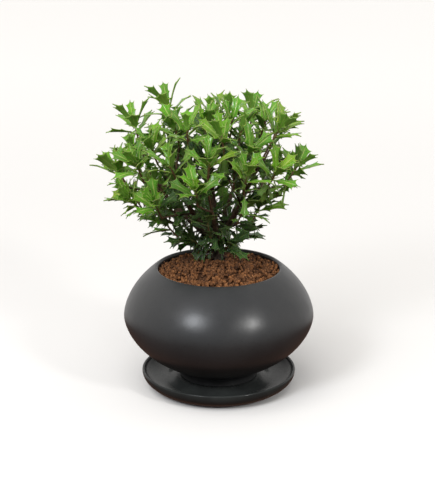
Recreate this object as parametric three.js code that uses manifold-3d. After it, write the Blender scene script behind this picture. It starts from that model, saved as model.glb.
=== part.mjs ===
// A dwarf horned holly grown as a bonsai, in a round stoneware pot that stands on a saucer.
// Millimetres, +Z up, -Y is the front. The origin is the centre of the saucer's flat underside.
//
// The pot, the saucer and the soil are turned shapes. The tree's wood is one solid: roots, trunk, boughs
// and twigs. Each leafy shoot is one solid of its own: this year's stem and the leaves on it, a small gap
// past its twig.
import * as THREE from 'three';
import { mergeVertices } from 'three/addons/utils/BufferGeometryUtils.js';
import Module from 'manifold-3d';

const wasm = await Module();
wasm.setup();

// ---------------------------------------------------------------- driving dimensions

const GAP = 0.3; // between pieces that touch
const SOIL_GAP = 0.5; // between the soil and the pot's wall, measured level
const ROUND_SIDES = 36; // flats round each turned piece

const saucer = {
  baseRadius: 46,
  lipRadius: 65.6,
  height: 14.6,
  floor: 6, // at the gutter, the lowest place inside
  gutterRadius: 47,
  lipRound: 1,
  seatRadius: 34.5, // the middle rises gently from the gutter to a flat seat, which the pot stands on
  seatHeight: 9,
};

const pot = {
  radius: 80.3, // at the widest place
  widestHeight: 63.4,
  shoulder: 58.5, // semi-height of the curve above the widest place
  belly: 51.9, // semi-height of the curve below it
  fullness: 1.7, // exponent of both curves
  mouthRadius: 51,
  wall: 5,
  lipRound: 1.8,
  lipTurn: 55, // slope at which the outer curve runs into the lip, in degrees
  footRadius: 33,
  footWidth: 5,
  footRecess: 1.6,
  floor: 5.6,
  drainRadius: 6,
};

const drainMesh = { side: 20, thickness: 0.8, bar: 1.4, holes: 3 };

const soil = { edgeBelowRim: 4.2, crown: 8 }; // the bed is domed towards the trunk

const trunk = { x: -1, y: 9, baseRadius: 6.2, forkRadius: 4.2, forkHeight: 127, depth: 20 };
const roots = { count: 5, reach: 30, drop: 22, radius: 3.2, tipRadius: 1.1 };

const crown = {
  base: new THREE.Vector3(-1, 7, 117), // where the fan of branches seems to start
  halfWidth: 76, // of the stem tips, seen from the front
  halfDepth: 66,
  height: 119,
  squareness: 4.5, // exponent of the outline: 2 is an ellipse
  lean: -0.07, // towards the left, as a share of the distance from the base
  frontLift: 26, // degrees by which the skirt is higher in front than behind
  rightLift: 25, // and higher on the right than on the left
};

// Boughs fan out from the fork, and the leader among them goes nearly straight up. Lift is their slope
// in degrees.
const bough = {
  count: 7,
  reach: 0.6,
  lift: 54,
  leaderLift: 86,
  radius: 3.1,
  tipRadius: 1.5,
  sag: 5,
  sway: 2.5,
};
const twig = { radius: 1.3, tipRadius: 1, sides: 4, steps: 2 };
const stem = { length: 17, radius: 1, tipRadius: 0.85, sides: 4, outward: 0.9, upward: 0.45 };
const leaf = { length: 26, width: 13.5, thickness: 0.6, smallest: 0.55, attempts: 14 };

// Rings of shoots from the skirt of the crown to its top. Each has a height angle in degrees, a count,
// its share of the way out to the crown's outline, how far it turns against the others, and its leaves.
const shootRings = [
  { angle: 27, count: 11, share: 1, turn: 0, leaves: 6 },
  { angle: 43, count: 11, share: 1, turn: 0.5, leaves: 6 },
  { angle: 58, count: 9, share: 1, turn: 0.2, leaves: 7 },
  { angle: 74, count: 6, share: 1, turn: 0.4, leaves: 7 },
  { angle: 30, count: 6, share: 0.55, turn: 0.25, leaves: 5 },
  { angle: 44, count: 5, share: 0.72, turn: 0.3, leaves: 5 },
  { angle: 68, count: 3, share: 0.7, turn: 0.1, leaves: 5 },
];
// Low tufts on the trunk.
const basalShoots = { count: 4, height: 128, reach: 23, outward: 0.8, upward: 0.6, leaves: 4 };

// ---------------------------------------------------------------- solids and geometry

// A closed three.js geometry as a solid.
function solidOf(geometry) {
  const bare = geometry.clone();
  bare.deleteAttribute('normal');
  bare.deleteAttribute('uv');
  const merged = mergeVertices(bare, 1e-4);
  return new wasm.Manifold(new wasm.Mesh({
    numProp: 3,
    vertProperties: new Float32Array(merged.attributes.position.array),
    triVerts: new Uint32Array(merged.index.array),
  }));
}

// A solid as a three.js geometry with flat faces.
function geometryOf(solid) {
  const mesh = solid.getMesh();
  const indexed = new THREE.BufferGeometry();
  indexed.setAttribute('position', new THREE.BufferAttribute(new Float32Array(mesh.vertProperties), 3));
  indexed.setIndex(new THREE.BufferAttribute(new Uint32Array(mesh.triVerts), 1));
  const flat = indexed.toNonIndexed();
  flat.computeVertexNormals();
  return flat;
}

const joined = (solids) => solids.reduce((all, one) => all.add(one));

// A turned piece: the profile's points are [radius, height].
function turned(profile, sides = ROUND_SIDES) {
  const points = profile.map(([radius, height]) => new THREE.Vector2(radius, height));
  return solidOf(new THREE.LatheGeometry(points, sides).rotateX(Math.PI / 2));
}

// Evenly spaced points of an arc, both ends included: centre, radius, start and end in degrees.
function arc([x, y], radius, from, to, steps) {
  return Array.from({ length: steps + 1 }, (_, i) => {
    const angle = THREE.MathUtils.degToRad(from + ((to - from) * i) / steps);
    return [x + radius * Math.cos(angle), y + radius * Math.sin(angle)];
  });
}

// A round limb along a curve, from one radius to another, with flat ends.
function limb(curve, startRadius, endRadius, sides, steps) {
  const frames = curve.computeFrenetFrames(steps);
  const positions = [];
  const index = [];
  for (let i = 0; i <= steps; i++) {
    const centre = curve.getPointAt(i / steps);
    const radius = THREE.MathUtils.lerp(startRadius, endRadius, i / steps);
    for (let k = 0; k < sides; k++) {
      const angle = (2 * Math.PI * k) / sides;
      positions.push(...centre.clone()
        .addScaledVector(frames.normals[i], radius * Math.cos(angle))
        .addScaledVector(frames.binormals[i], radius * Math.sin(angle)));
    }
  }
  for (let i = 0; i < steps; i++) {
    for (let k = 0; k < sides; k++) {
      const [a, b] = [i * sides + k, i * sides + ((k + 1) % sides)];
      index.push(a, b, b + sides, a, b + sides, a + sides);
    }
  }
  const last = steps * sides;
  for (let k = 1; k < sides - 1; k++) {
    index.push(0, k + 1, k);
    index.push(last, last + k, last + k + 1);
  }
  const geometry = new THREE.BufferGeometry();
  geometry.setAttribute('position', new THREE.Float32BufferAttribute(positions, 3));
  geometry.setIndex(index);
  return solidOf(geometry);
}

// Repeatable random numbers from 0 to 1.
function randomFrom(seed) {
  let state = seed >>> 0;
  return () => {
    state = (state + 0x6d2b79f5) >>> 0;
    let t = state;
    t = Math.imul(t ^ (t >>> 15), t | 1);
    t ^= t + Math.imul(t ^ (t >>> 7), t | 61);
    return ((t ^ (t >>> 14)) >>> 0) / 4294967296;
  };
}

const radians = THREE.MathUtils.degToRad;
const up = new THREE.Vector3(0, 0, 1);

// A unit vector at an azimuth about +Z, 0 at +X, and an angle above the horizontal, both in degrees.
function direction(azimuth, elevation) {
  const [a, e] = [radians(azimuth), radians(elevation)];
  return new THREE.Vector3(Math.cos(a) * Math.cos(e), Math.sin(a) * Math.cos(e), Math.sin(e));
}

// ---------------------------------------------------------------- saucer and pot

// The radius of the dish's wall, which curves out from the base to the lip as a quarter ellipse.
const dishRadius = (height, base, lip, rise) => base + (lip - base) * Math.sqrt(1 - (1 - height / rise) ** 2);

function saucerSolid() {
  const { baseRadius, lipRadius, height, floor, gutterRadius, lipRound, seatRadius, seatHeight } = saucer;
  const shares = [0, 0.09, 0.32, 0.7];
  const lipHeight = height - lipRound;
  const outside = shares.map((t) => {
    const z = t * lipHeight;
    return [dishRadius(z, baseRadius, lipRadius, lipHeight), z];
  });
  const inside = shares.map((t) => {
    const z = floor + t * (lipHeight - floor);
    return [dishRadius(z - floor, gutterRadius, lipRadius - 2 * lipRound, lipHeight - floor), z];
  });
  const lip = arc([lipRadius - lipRound, lipHeight], lipRound, 0, 180, 3);
  const seat = [0.75, 0.5, 0.25, 0].map((share) => [
    THREE.MathUtils.lerp(seatRadius, gutterRadius, share),
    THREE.MathUtils.lerp(floor, seatHeight, 0.5 + 0.5 * Math.cos(Math.PI * share)),
  ]);
  return turned([[0, 0], ...outside, ...lip, ...inside.reverse(), ...seat, [0, seatHeight]]);
}

// The pot's curve: its radius at a height, drawn in by an inset on every side.
function potRadius(height, inset = 0) {
  const rise = height - pot.widestHeight;
  const reach = (rise > 0 ? pot.shoulder : pot.belly) - inset;
  return (pot.radius - inset) * Math.sqrt(1 - (Math.abs(rise) / reach) ** pot.fullness);
}

// The height at which that curve has a radius, above or below the widest place.
function potHeight(radius, inset, side) {
  const reach = (side > 0 ? pot.shoulder : pot.belly) - inset;
  return pot.widestHeight + side * reach * (1 - (radius / (pot.radius - inset)) ** 2) ** (1 / pot.fullness);
}

// Points of that curve between two heights, closer together where it turns fast.
function potCurve(from, to, inset, steps) {
  return Array.from({ length: steps + 1 }, (_, i) => {
    const height = from + (to - from) * (i / steps);
    return [potRadius(height, inset), height];
  });
}

const footHeight = saucer.seatHeight + GAP;
const recessHeight = footHeight + pot.footRecess;
const potFloor = recessHeight + pot.floor;
const floorRadius = pot.footRadius - pot.wall;

// The lip is an arc that carries on from the outer curve, over the top and down to the mouth.
const lipOuter = pot.mouthRadius + pot.lipRound * (1 + Math.cos(radians(pot.lipTurn)));
const lipCentre = potHeight(lipOuter, 0, 1) - pot.lipRound * Math.sin(radians(pot.lipTurn));
const rimHeight = lipCentre + pot.lipRound;

// The inner wall's profile from the mouth down to the floor.
function potInside() {
  const top = potHeight(pot.mouthRadius, pot.wall, 1);
  const bottom = potHeight(floorRadius + 3, pot.wall, -1);
  return [
    [pot.mouthRadius, lipCentre],
    ...potCurve(top, pot.widestHeight, pot.wall, 3),
    ...potCurve(pot.widestHeight, bottom, pot.wall, 3).slice(1),
    [floorRadius, potFloor],
  ];
}

function potSolid() {
  const footTop = potHeight(pot.footRadius, 0, -1);
  const outside = [
    ...potCurve(footTop, pot.widestHeight, 0, 6),
    ...potCurve(pot.widestHeight, potHeight(lipOuter, 0, 1), 0, 6).slice(1, -1),
  ];
  const lip = arc([pot.mouthRadius + pot.lipRound, lipCentre], pot.lipRound, pot.lipTurn, 180, 3);
  const footInner = pot.footRadius - pot.footWidth;
  return turned([
    [pot.drainRadius, recessHeight],
    [footInner, recessHeight],
    [footInner + 0.6, footHeight],
    [pot.footRadius - 0.8, footHeight],
    [pot.footRadius, footHeight + 1],
    ...outside, ...lip.slice(0, -1), ...potInside(),
    [pot.drainRadius, potFloor],
    [pot.drainRadius, recessHeight],
  ]);
}

// A square of plastic net over the drain hole, so that the soil stays in.
function drainMeshSolid() {
  const { side, thickness, bar, holes } = drainMesh;
  const bars = [];
  for (let i = 0; i <= holes; i++) {
    const offset = (i / holes - 0.5) * (side - bar);
    bars.push(new THREE.BoxGeometry(side, bar, thickness).translate(0, offset, 0));
    bars.push(new THREE.BoxGeometry(bar, side, thickness).translate(offset, 0, 0));
  }
  const height = potFloor + GAP + thickness / 2;
  return joined(bars.map((one) => solidOf(one.translate(0, 0, height))));
}

// ---------------------------------------------------------------- wood below the crown

const soilEdge = rimHeight - soil.edgeBelowRim;
const soilTop = soilEdge + soil.crown; // at the trunk

// The roots and the trunk up to the fork, grown outwards by a margin.
function trunkSolids(margin = 0) {
  const foot = new THREE.Vector3(trunk.x, trunk.y, soilTop);
  const line = new THREE.CatmullRomCurve3([
    foot.clone().add(new THREE.Vector3(0, 0, -trunk.depth)),
    foot,
    new THREE.Vector3(trunk.x + 1.6, trunk.y - 0.6, soilTop + 10),
    new THREE.Vector3(trunk.x - 0.4, trunk.y - 0.4, trunk.forkHeight),
  ]);
  const solids = [limb(line, trunk.baseRadius + margin, trunk.forkRadius + margin, 8, 6)];
  for (let i = 0; i < roots.count; i++) {
    const out = direction((360 * i) / roots.count + 20, 0);
    const reach = roots.reach * (i % 2 ? 0.8 : 1);
    const path = new THREE.QuadraticBezierCurve3(
      foot.clone().addScaledVector(out, 1).add(new THREE.Vector3(0, 0, 1.5)),
      foot.clone().addScaledVector(out, reach * 0.5).add(new THREE.Vector3(0, 0, -4)),
      foot.clone().addScaledVector(out, reach).add(new THREE.Vector3(0, 0, -roots.drop)),
    );
    solids.push(limb(path, roots.radius + margin, roots.tipRadius + margin, 5, 3));
  }
  return solids;
}

// The soil's side follows the inner wall's profile from the bottom up, a gap inside it, and is cut off
// at its edge.
function soilSide(bottom) {
  const wall = potInside().reverse().map(([radius, height]) => [radius - SOIL_GAP, height]);
  const above = wall.findIndex(([, height]) => height > soilEdge);
  const [[lowRadius, low], [highRadius, high]] = [wall[above - 1], wall[above]];
  const edgeRadius = THREE.MathUtils.mapLinear(soilEdge, low, high, lowRadius, highRadius);
  return [[floorRadius - SOIL_GAP, bottom], ...wall.slice(1, above), [edgeRadius, soilEdge]];
}

function soilSolid() {
  const bottom = potFloor + GAP;
  const side = soilSide(bottom);
  const [edgeRadius] = side[side.length - 1];
  const dome = [0.75, 0.5, 0.25].map((share) => [
    edgeRadius * share,
    soilEdge + soil.crown * (0.5 + 0.5 * Math.cos(Math.PI * share)),
  ]);
  const bed = turned([[0, bottom], ...side, ...dome, [0, soilTop]]);
  const half = drainMesh.side / 2 + GAP;
  const pocket = new THREE.BoxGeometry(2 * half, 2 * half, 2 * (drainMesh.thickness + GAP));
  return bed
    .subtract(solidOf(pocket.translate(0, 0, bottom)))
    .subtract(joined(trunkSolids(GAP)));
}

// ---------------------------------------------------------------- where the shoots are

// The distance from the crown's base to its outline in a direction.
function crownReach(way) {
  const n = crown.squareness;
  const across = Math.hypot(way.x / crown.halfWidth, way.y / crown.halfDepth);
  return (across ** n + (way.z / crown.height) ** n) ** (-1 / n);
}

function shootPlaces() {
  const random = randomFrom(11);
  const spread = (amount) => (2 * random() - 1) * amount;
  const places = [];
  for (const ring of shootRings) {
    for (let i = 0; i < ring.count; i++) {
      const azimuth = (360 * (i + ring.turn)) / ring.count + spread(7);
      const front = Math.max(0, -Math.sin(radians(azimuth)));
      const right = Math.max(0, Math.cos(radians(azimuth)));
      const lift = (1 - ring.angle / 90) * (crown.frontLift * front + crown.rightLift * right);
      const way = direction(azimuth, ring.angle + lift + spread(4));
      const reach = crownReach(way) * ring.share * (0.96 + spread(0.07));
      const tip = crown.base.clone().addScaledVector(way, reach);
      tip.x += crown.lean * reach;
      const axis = way.clone().multiplyScalar(stem.outward).addScaledVector(up, stem.upward);
      axis.add(new THREE.Vector3(spread(0.25), spread(0.25), spread(0.1))).normalize();
      places.push({ tip, axis, leaves: ring.leaves, phase: 360 * random() });
    }
  }
  for (let i = 0; i < basalShoots.count; i++) {
    const out = direction((360 * i) / basalShoots.count + 205, 0);
    const tip = new THREE.Vector3(trunk.x, trunk.y, basalShoots.height);
    tip.addScaledVector(out, basalShoots.reach);
    const axis = out.clone().multiplyScalar(basalShoots.outward);
    axis.addScaledVector(up, basalShoots.upward).normalize();
    places.push({ tip, axis, leaves: basalShoots.leaves, phase: 360 * random() });
  }
  for (const place of places) place.base = place.tip.clone().addScaledVector(place.axis, -stem.length);
  return places;
}

const shoots = shootPlaces();
for (const shoot of shoots) {
  const line = new THREE.LineCurve3(shoot.base, shoot.tip);
  shoot.stem = limb(line, stem.radius, stem.tipRadius, stem.sides, 1);
}

// ---------------------------------------------------------------- boughs and twigs

const boxOf = (solid) => {
  const { min, max } = solid.boundingBox();
  return new THREE.Box3(new THREE.Vector3(...min), new THREE.Vector3(...max));
};

// True if a solid cuts into any of the others, each given as { solid, box }.
function clashes(solid, others) {
  const box = boxOf(solid);
  return others.some((other) => other.box.intersectsBox(box) && other.solid.intersect(solid).volume() > 1e-6);
}

const fork = new THREE.Vector3(trunk.x - 0.4, trunk.y - 0.4, trunk.forkHeight);

// The lines of the boughs and, last, of the leader. They leave the trunk at three heights just below
// the fork.
function boughLines() {
  const lines = [];
  for (let i = 0; i <= bough.count; i++) {
    const leader = i === bough.count;
    const azimuth = (360 * i) / bough.count + 12;
    const way = leader
      ? direction(100, bough.leaderLift)
      : direction(azimuth, bough.lift + 6 * Math.cos(3 * i));
    const start = fork.clone().addScaledVector(up, leader ? -3 : -3 - 2.2 * (i % 3));
    const reach = crownReach(way) * bough.reach;
    const end = crown.base.clone().addScaledVector(way, reach);
    end.x += crown.lean * reach;
    const middle = start.clone().lerp(end, 0.5).addScaledVector(direction(azimuth + 90, 0), bough.sway);
    middle.z -= leader ? 0 : bough.sag;
    lines.push(new THREE.QuadraticBezierCurve3(start, middle, end));
  }
  return lines;
}

// The ways a twig can join a bough and reach a shoot's base, the most natural first.
function twigOptions(shoot, lines) {
  const end = shoot.base.clone().addScaledVector(shoot.axis, -GAP);
  const options = [];
  for (const line of lines) {
    for (const share of [0.3, 0.45, 0.6, 0.75, 0.88, 0.985]) {
      const start = line.getPoint(share);
      const span = end.clone().sub(start);
      const along = line.getTangent(share);
      const bend = 1 - span.clone().normalize().dot(along);
      const cost = span.length() + 30 * bend;
      const handle = span.length() * 0.4;
      const curve = new THREE.CubicBezierCurve3(
        start,
        start.clone().addScaledVector(along, handle),
        end.clone().addScaledVector(shoot.axis, -handle),
        end,
      );
      options.push({ cost, curve });
    }
  }
  return options.sort((a, b) => a.cost - b.cost).map((option) => option.curve);
}

function woodSolid() {
  const lines = boughLines();
  const trunkTop = new THREE.LineCurve3(fork.clone().setZ(soilTop + 2), fork);
  const solids = trunkSolids();
  for (const line of lines) solids.push(limb(line, bough.radius, bough.tipRadius, 6, 5));
  const stems = shoots.map((shoot) => ({ solid: shoot.stem, box: boxOf(shoot.stem) }));
  for (const [i, shoot] of shoots.entries()) {
    const others = stems.filter((_, k) => k !== i);
    const isFree = (option) => {
      const roomy = limb(option, twig.radius + GAP, twig.tipRadius + GAP, twig.sides, twig.steps);
      return !clashes(roomy, others);
    };
    const curve = twigOptions(shoot, [...lines, trunkTop]).find(isFree);
    solids.push(limb(curve, twig.radius, twig.tipRadius, twig.sides, twig.steps));
  }
  return joined(solids);
}

// ---------------------------------------------------------------- leaves

// The right half of a leaf's outline from its stalk to its end spine, as shares of the width and the length,
// with the height of the edge there as a share of the length: the spines bend down.
const leafOutline = [
  [0.44, 0.36, -0.04], // lower spine
  [0.2, 0.58, 0.02], // waist
  [0.54, 0.87, -0.06], // corner spine
  [0.16, 0.81, 0], // notch
];
const leafTip = [0, 1.04, -0.045];
const leafCrest = 0.06; // height of the blade's middle, as a share of the length

// A leaf with its stalk at the origin, its length along +Y and its upper face up. It is a thin lens that is
// sharp all round its spiny outline, drawn between one point on its upper face and one on its lower face.
function leafSolid(size, margin = 0) {
  const length = leaf.length * size;
  const width = leaf.width * size;
  const half = leaf.thickness / 2 + margin;
  const right = leafOutline.map(([x, y, z]) => [x * width + margin, y * length, z * length]);
  const left = right.map(([x, y, z]) => [-x, y, z]).reverse();
  const tip = [0, leafTip[1] * length + margin, leafTip[2] * length];
  const outline = [[0, 0, 0], ...right, tip, ...left];
  const crest = [0, 0.5 * length];
  const positions = [
    ...outline,
    [...crest, leafCrest * length + half],
    [...crest, leafCrest * length - half],
  ].flat();
  const index = [];
  const [top, bottom] = [outline.length, outline.length + 1];
  for (let i = 0; i < outline.length; i++) {
    const next = (i + 1) % outline.length;
    index.push(top, i, next);
    index.push(bottom, next, i);
  }
  const geometry = new THREE.BufferGeometry();
  geometry.setAttribute('position', new THREE.Float32BufferAttribute(positions, 3));
  geometry.setIndex(index);
  return geometry;
}

// Places a leaf on a shoot: its stalk starts on the stem's axis, it leans from the axis by an angle,
// turns round it by another, and rolls about its own length.
function leafMatrix(shoot, share, lean, turn, roll) {
  const side = new THREE.Vector3().crossVectors(shoot.axis, up);
  if (side.length() < 0.05) side.set(1, 0, 0);
  side.normalize().applyAxisAngle(shoot.axis, radians(turn));
  const along = shoot.axis.clone().multiplyScalar(Math.cos(radians(lean)))
    .addScaledVector(side, Math.sin(radians(lean)));
  const across = new THREE.Vector3().crossVectors(along, shoot.axis).normalize()
    .applyAxisAngle(along, radians(roll));
  const face = new THREE.Vector3().crossVectors(across, along);
  const start = shoot.base.clone().lerp(shoot.tip, share);
  return new THREE.Matrix4().makeBasis(across, along, face).setPosition(start);
}

// Grows the leaves one by one. A leaf that would touch the wood, a stem or another leaf is tried
// a little turned, leaned and smaller, and left out if there is no room for it.
function growLeaves(wood) {
  const random = randomFrom(5);
  const obstacles = [{ solid: wood, box: boxOf(wood), shoot: null }];
  for (const shoot of shoots) obstacles.push({ solid: shoot.stem, box: boxOf(shoot.stem), shoot });
  for (const shoot of shoots) shoot.parts = [shoot.stem];
  const most = Math.max(...shoots.map((shoot) => shoot.leaves));
  for (let rank = 0; rank < most; rank++) {
    for (const shoot of shoots.filter((one) => rank < one.leaves)) {
      const share = 0.97 - (0.6 * rank) / most;
      const fullSize = rank === 0 ? 0.82 : 1 - 0.06 * random();
      for (let attempt = 0; attempt < leaf.attempts; attempt++) {
        const size = fullSize * (1 - 0.03 * attempt);
        const swing = 4 + 3 * attempt;
        const lean = 22 + (48 * rank) / (most - 1) + (2 * random() - 1) * swing;
        const turn = shoot.phase + 137.5 * rank + (2 * random() - 1) * swing * 1.2;
        const roll = (2 * random() - 1) * (14 + swing);
        if (size < leaf.smallest) break;
        const place = leafMatrix(shoot, share, lean, turn, roll);
        const roomy = solidOf(leafSolid(size, GAP).applyMatrix4(place));
        if (clashes(roomy, obstacles.filter((one) => one.shoot !== shoot))) continue;
        const solid = solidOf(leafSolid(size).applyMatrix4(place));
        const ownLeaves = obstacles.filter((one) => one.shoot === shoot && one.solid !== shoot.stem);
        if (clashes(solid, ownLeaves)) continue;
        obstacles.push({ solid, box: boxOf(solid), shoot });
        shoot.parts.push(solid);
        break;
      }
    }
  }
}

// ---------------------------------------------------------------- assembly

const materials = {
  clay: new THREE.MeshStandardMaterial({ color: 0x3b3d3f, roughness: 0.42, metalness: 0 }),
  glaze: new THREE.MeshStandardMaterial({ color: 0x17191a, roughness: 0.16, metalness: 0 }),
  soil: new THREE.MeshStandardMaterial({ color: 0x6b3a24, roughness: 0.95, metalness: 0 }),
  net: new THREE.MeshStandardMaterial({ color: 0x1d2420, roughness: 0.6, metalness: 0 }),
  bark: new THREE.MeshStandardMaterial({ color: 0x3f3226, roughness: 0.85, metalness: 0 }),
  leaf: new THREE.MeshStandardMaterial({ color: 0x3f7d2a, roughness: 0.35, metalness: 0 }),
};

const bonsai = new THREE.Group();

function addPiece(name, solid, material) {
  const mesh = new THREE.Mesh(geometryOf(solid), material);
  mesh.name = name;
  bonsai.add(mesh);
}

const wood = woodSolid();
growLeaves(wood);

addPiece('saucer', saucerSolid(), materials.glaze);
addPiece('pot', potSolid(), materials.clay);
addPiece('drain_mesh', drainMeshSolid(), materials.net);
addPiece('soil', soilSolid(), materials.soil);
addPiece('trunk_and_branches', wood, materials.bark);
for (const [i, shoot] of shoots.entries()) {
  addPiece(`shoot_${String(i + 1).padStart(2, '0')}`, joined(shoot.parts), materials.leaf);
}

export default bonsai;
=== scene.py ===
import math

import bmesh
import bpy
import numpy as np
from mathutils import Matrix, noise


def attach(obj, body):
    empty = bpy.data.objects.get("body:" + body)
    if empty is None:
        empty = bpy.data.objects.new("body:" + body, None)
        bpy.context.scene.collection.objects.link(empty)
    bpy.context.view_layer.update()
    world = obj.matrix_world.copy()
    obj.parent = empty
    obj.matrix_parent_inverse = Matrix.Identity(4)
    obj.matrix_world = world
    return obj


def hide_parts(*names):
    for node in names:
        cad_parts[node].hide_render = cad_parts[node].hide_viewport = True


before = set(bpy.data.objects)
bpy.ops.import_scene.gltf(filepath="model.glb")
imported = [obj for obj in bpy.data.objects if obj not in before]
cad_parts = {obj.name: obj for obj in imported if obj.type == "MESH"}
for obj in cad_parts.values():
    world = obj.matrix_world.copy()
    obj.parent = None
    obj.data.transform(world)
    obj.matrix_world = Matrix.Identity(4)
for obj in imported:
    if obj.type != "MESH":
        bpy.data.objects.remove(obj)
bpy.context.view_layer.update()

# A holly bonsai in a stoneware pot on a saucer. Lengths are in millimetres until a mesh is made, which is in
# metres, as are the sizes in materials. Pot, saucer and soil are turned again from the CAD's profiles, with
# finer steps. Each leaf of a CAD shoot is found in its mesh, and a veined, spiny leaf takes its place.

MM = 0.001
ON_AXIS = 1e-6  # a radius below this counts as none


# ---------------- sizes that repeat the CAD's

ROUND_SIDES = 144

POT_RADIUS = 80.3
POT_WIDEST = 63.4  # height of the widest place
POT_SHOULDER = 58.5  # semi-height of the curve above it
POT_BELLY = 51.9  # and below it
POT_FULLNESS = 1.7
POT_MOUTH = 51.0
POT_WALL = 5.0
POT_LIP = 1.8
POT_LIP_TURN = 55.0  # the slope at which the curve runs into the lip, in degrees
POT_FOOT = 33.0
POT_FOOT_WIDTH = 5.0
POT_RECESS = 1.6
POT_FLOOR = 5.6
DRAIN_RADIUS = 6.0

SAUCER_BASE = 46.0
SAUCER_LIP = 65.6
SAUCER_HEIGHT = 14.6
SAUCER_FLOOR = 6.0
SAUCER_GUTTER = 47.0
SAUCER_LIP_ROUND = 1.0
SEAT_RADIUS = 34.5
SEAT_HEIGHT = 9.0

GAP = 0.3
SOIL_BELOW_RIM = 4.2
SOIL_CROWN = 8.0
TRUNK_X = -1.0
TRUNK_Y = 9.0
TRUNK_FOOT = 115.0  # height of the place from which bark and furrows are measured

LEAF_LENGTH = 26.0
LEAF_WIDTH = 13.5
# The points of the CAD leaf's outline on its right side, from the stalk on, and at its tip: how far they lie
# across as a share of the width, and how far along and up as shares of the length.
CAD_SIDE = [(0.44, 0.36, -0.04), (0.2, 0.58, 0.02), (0.54, 0.87, -0.06), (0.16, 0.81, 0.0)]
CAD_TIP = (0.0, 1.04, -0.045)

# Where leaves are darkened with painted shade: within the crown, in a hollow at its front left, and round
# the trunk's foot.
CROWN_CENTRE = np.array([-5.0, 5.0, 188.0])
CROWN_HALF = np.array([92.0, 82.0, 70.0])
SHADED_HOLLOW_CENTRE = np.array([-20.0, -20.0, 160.0])
SHADED_HOLLOW_HALF = np.array([36.0, 70.0, 34.0])
FOOT_CENTRE = np.array([TRUNK_X, TRUNK_Y, 122.0])
FOOT_HALF = np.array([60.0, 60.0, 26.0])


# ---------------- meshes

def make_piece(name, vertices, faces, materials, nodes=()):
    """An object of a closed mesh, given in millimetres, that rides on the body and may replace CAD nodes."""
    mesh = bpy.data.meshes.new(name)
    mesh.from_pydata((np.asarray(vertices) * MM).tolist(), [], faces)
    for material in materials:
        mesh.materials.append(material)
    mesh.polygons.foreach_set("use_smooth", [True] * len(mesh.polygons))
    mesh.update()
    piece = bpy.data.objects.new(name, mesh)
    bpy.context.scene.collection.objects.link(piece)
    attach(piece, "root")
    if nodes:
        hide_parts(*nodes)
    return piece


def face_outwards(piece):
    """Turns the faces of a closed mesh so that they all point out."""
    mesh = bmesh.new()
    mesh.from_mesh(piece.data)
    bmesh.ops.recalc_face_normals(mesh, faces=mesh.faces)
    mesh.to_mesh(piece.data)
    mesh.free()


def turned(profile, closed=False, sides=ROUND_SIDES):
    """Vertices and faces of a turned piece. A profile that isn't closed on itself starts and ends on the
    axis."""
    vertices = []
    rings = []
    angles = np.linspace(0, 2 * math.pi, sides, endpoint=False)
    for radius, height in profile:
        first = len(vertices)
        if radius < ON_AXIS:
            vertices.append((0.0, 0.0, height))
            rings.append([first] * sides)
        else:
            vertices.extend((radius * math.cos(a), radius * math.sin(a), height) for a in angles)
            rings.append(list(range(first, first + sides)))
    faces = []
    pairs = list(zip(rings, rings[1:] + rings[:1]))
    for low, high in pairs if closed else pairs[:-1]:
        for k in range(sides):
            j = (k + 1) % sides
            corners = [low[k], low[j], high[j], high[k]]
            faces.append(list(dict.fromkeys(corners)))
    return np.array(vertices), faces


def arc(centre, radius, start, end, steps):
    """Points of an arc from one angle to another, in degrees."""
    angles = np.radians(np.linspace(start, end, steps + 1))
    return [(centre[0] + radius * math.cos(a), centre[1] + radius * math.sin(a)) for a in angles]


def bezier(p0, p1, p2, p3, count):
    """Points of a cubic curve, without its last one."""
    t = np.linspace(0, 1, count, endpoint=False)[:, None]
    p0, p1, p2, p3 = (np.asarray(p, dtype=float) for p in (p0, p1, p2, p3))
    return (1 - t) ** 3 * p0 + 3 * (1 - t) ** 2 * t * p1 + 3 * (1 - t) * t * t * p2 + t ** 3 * p3


def smooth_step(low, high, value):
    """0 below low, 1 above high, and an even curve between them."""
    share = np.clip((np.asarray(value) - low) / (high - low), 0, 1)
    return share * share * (3 - 2 * share)


# ---------------- materials

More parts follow.
